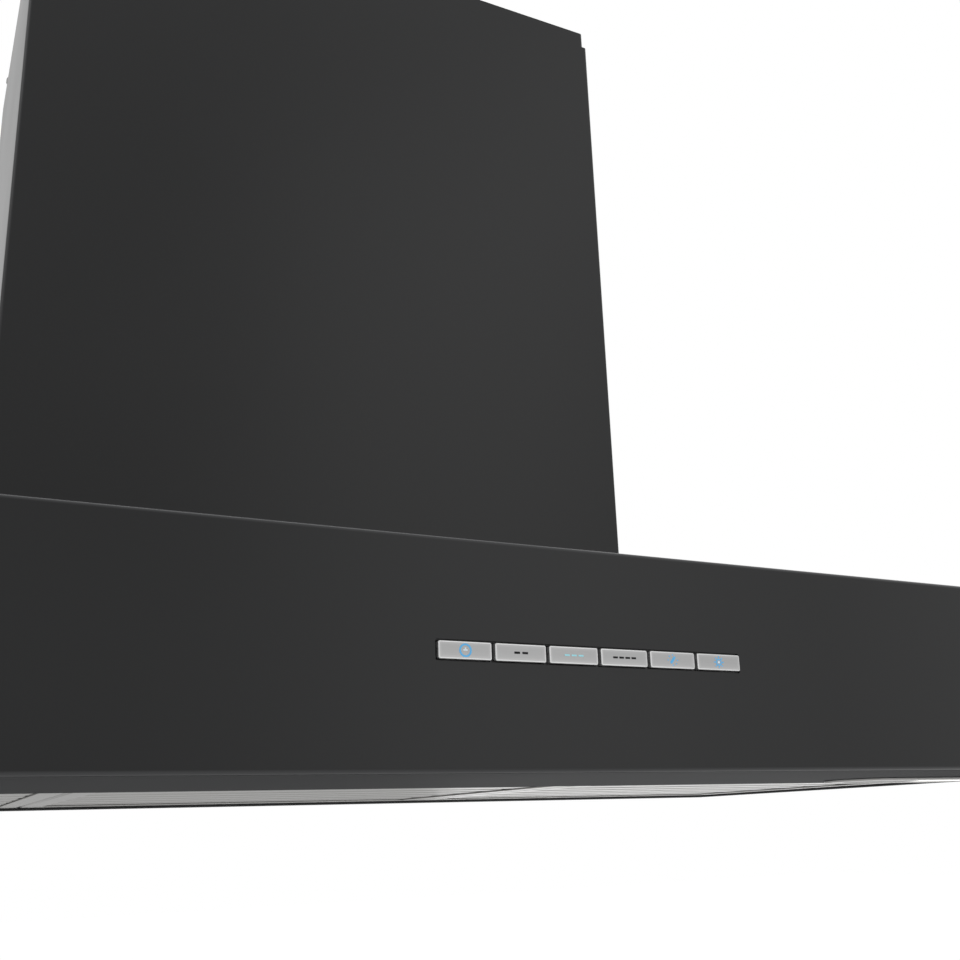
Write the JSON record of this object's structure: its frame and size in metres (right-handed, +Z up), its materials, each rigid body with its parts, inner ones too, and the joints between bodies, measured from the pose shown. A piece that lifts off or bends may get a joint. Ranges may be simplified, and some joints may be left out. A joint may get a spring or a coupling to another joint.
{
  "type": "chimney range hood",
  "caption": "Wall-mounted kitchen range hood: flat box canopy with a slotted row of keys, lamps and baffle filters under it, and a telescoping rectangular chimney.",
  "frame": {"origin": "middle of the wall rail's back face, on the wall, 350 mm over the canopy's bottom rim", "axes": "+X to the right of a person who faces the hood, +Y into the wall, +Z up"},
  "size_m": [1, 0.5015, 0.6258],
  "materials": {
    "black_enamel": "satin-gloss black enamel on steel sheet",
    "stainless": "brushed stainless steel",
    "key_metal": "fine satin",
    "zinc_steel": "zinc-plated steel",
    "dark_plastic": "moulded, matt",
    "grey_plastic": "moulded, matt",
    "frosted_lens": "frosted polycarbonate",
    "circuit_board": "solder mask",
    "silicone": "matt",
    "cable_jacket": "matt"
  },
  "bodies": {
    "hood": {"canopy_shell": "black_enamel", "lamp_panel": "black_enamel", "chimney_lower": "black_enamel", "lamp_bezel_left": "stainless", "lamp_bezel_right": "stainless", "damper_spindle": "stainless", "canopy_rear_panel": "zinc_steel", "service_partition": "zinc_steel", "blower_box": "zinc_steel", "motor": "zinc_steel", "motor_bracket": "zinc_steel", "wall_rail": "zinc_steel", "hanging_hook_left": "zinc_steel", "hanging_hook_right": "zinc_steel", "keypad_housing": "dark_plastic", "keypad_cover": "dark_plastic", "intake_grille": "dark_plastic", "scroll_housing_right": "dark_plastic", "scroll_housing_left": "dark_plastic", "outlet_collar": "dark_plastic", "terminal_box": "dark_plastic", "terminal_lid": "dark_plastic", "cable_gland": "dark_plastic", "run_capacitor": "grey_plastic", "power_box": "grey_plastic", "power_box_lid": "grey_plastic", "lamp_lens_left": "frosted_lens", "lamp_lens_right": "frosted_lens", "lamp_board_left": "circuit_board", "lamp_board_right": "circuit_board", "control_board": "circuit_board", "power_board": "circuit_board", "keypad_dome_mat": "silicone", "keypad_loom": "cable_jacket", "lamp_loom_left": "cable_jacket", "lamp_loom_right": "cable_jacket", "motor_loom": "cable_jacket"},
    "key_1": {"key_1": "key_metal"},
    "key_2": {"key_2": "key_metal"},
    "key_3": {"key_3": "key_metal"},
    "key_4": {"key_4": "key_metal"},
    "key_5": {"key_5": "key_metal"},
    "key_6": {"key_6": "key_metal"},
    "filter_left": {"filter_left": "stainless"},
    "latch_left": {"filter_latch_left": "stainless"},
    "filter_middle": {"filter_middle": "stainless"},
    "latch_middle": {"filter_latch_middle": "stainless"},
    "filter_right": {"filter_right": "stainless"},
    "latch_right": {"filter_latch_right": "stainless"},
    "rotor": {"impeller": "grey_plastic", "motor_shaft": "stainless"},
    "flap_front": {"damper_flap_front": "grey_plastic"},
    "flap_rear": {"damper_flap_rear": "grey_plastic"},
    "upper_chimney": {"chimney_upper": "black_enamel", "chimney_bracket": "zinc_steel", "bracket_screw_left": "stainless", "bracket_screw_right": "stainless"}
  },
  "joints": [
    {"name": "key_1_press", "type": "slide", "parent": "hood", "child": "key_1", "axis": [0, 1, 0], "range_m": [0, 0.0012], "stiffness_N_per_m": 600},
    {"name": "key_2_press", "type": "slide", "parent": "hood", "child": "key_2", "axis": [0, 1, 0], "range_m": [0, 0.0012], "stiffness_N_per_m": 600},
    {"name": "key_3_press", "type": "slide", "parent": "hood", "child": "key_3", "axis": [0, 1, 0], "range_m": [0, 0.0012], "stiffness_N_per_m": 600},
    {"name": "key_4_press", "type": "slide", "parent": "hood", "child": "key_4", "axis": [0, 1, 0], "range_m": [0, 0.0012], "stiffness_N_per_m": 600},
    {"name": "key_5_press", "type": "slide", "parent": "hood", "child": "key_5", "axis": [0, 1, 0], "range_m": [0, 0.0012], "stiffness_N_per_m": 600},
    {"name": "key_6_press", "type": "slide", "parent": "hood", "child": "key_6", "axis": [0, 1, 0], "range_m": [0, 0.0012], "stiffness_N_per_m": 600},
    {"name": "filter_left_tilt", "type": "hinge", "parent": "hood", "child": "filter_left", "pos_m": [-0.32087, -0.0265, -0.3485], "axis": [1, 0, 0], "range_deg": [0, 60]},
    {"name": "latch_left_slide", "type": "slide", "parent": "filter_left", "child": "latch_left", "axis": [0, 1, 0], "range_m": [0, 0.006], "stiffness_N_per_m": 300},
    {"name": "filter_middle_tilt", "type": "hinge", "parent": "hood", "child": "filter_middle", "pos_m": [0, -0.0265, -0.3485], "axis": [1, 0, 0], "range_deg": [0, 60]},
    {"name": "latch_middle_slide", "type": "slide", "parent": "filter_middle", "child": "latch_middle", "axis": [0, 1, 0], "range_m": [0, 0.006], "stiffness_N_per_m": 300},
    {"name": "filter_right_tilt", "type": "hinge", "parent": "hood", "child": "filter_right", "pos_m": [0.32087, -0.0265, -0.3485], "axis": [1, 0, 0], "range_deg": [0, 60]},
    {"name": "latch_right_slide", "type": "slide", "parent": "filter_right", "child": "latch_right", "axis": [0, 1, 0], "range_m": [0, 0.006], "stiffness_N_per_m": 300},
    {"name": "impeller_spin", "type": "hinge", "parent": "hood", "child": "rotor", "pos_m": [0, -0.11949, -0.119], "axis": [-1, 0, 0], "continuous": true},
    {"name": "flap_front_lift", "type": "hinge", "parent": "hood", "child": "flap_front", "pos_m": [0, -0.185, 0.0603], "axis": [-1, 0, 0], "range_deg": [0, 75]},
    {"name": "flap_rear_lift", "type": "hinge", "parent": "hood", "child": "flap_rear", "pos_m": [0, -0.185, 0.0603], "axis": [1, 0, 0], "range_deg": [0, 75]},
    {"name": "upper_chimney_slide", "type": "slide", "parent": "hood", "child": "upper_chimney", "axis": [0, 0, 1], "range_m": [0, 0.32]}
  ]
}
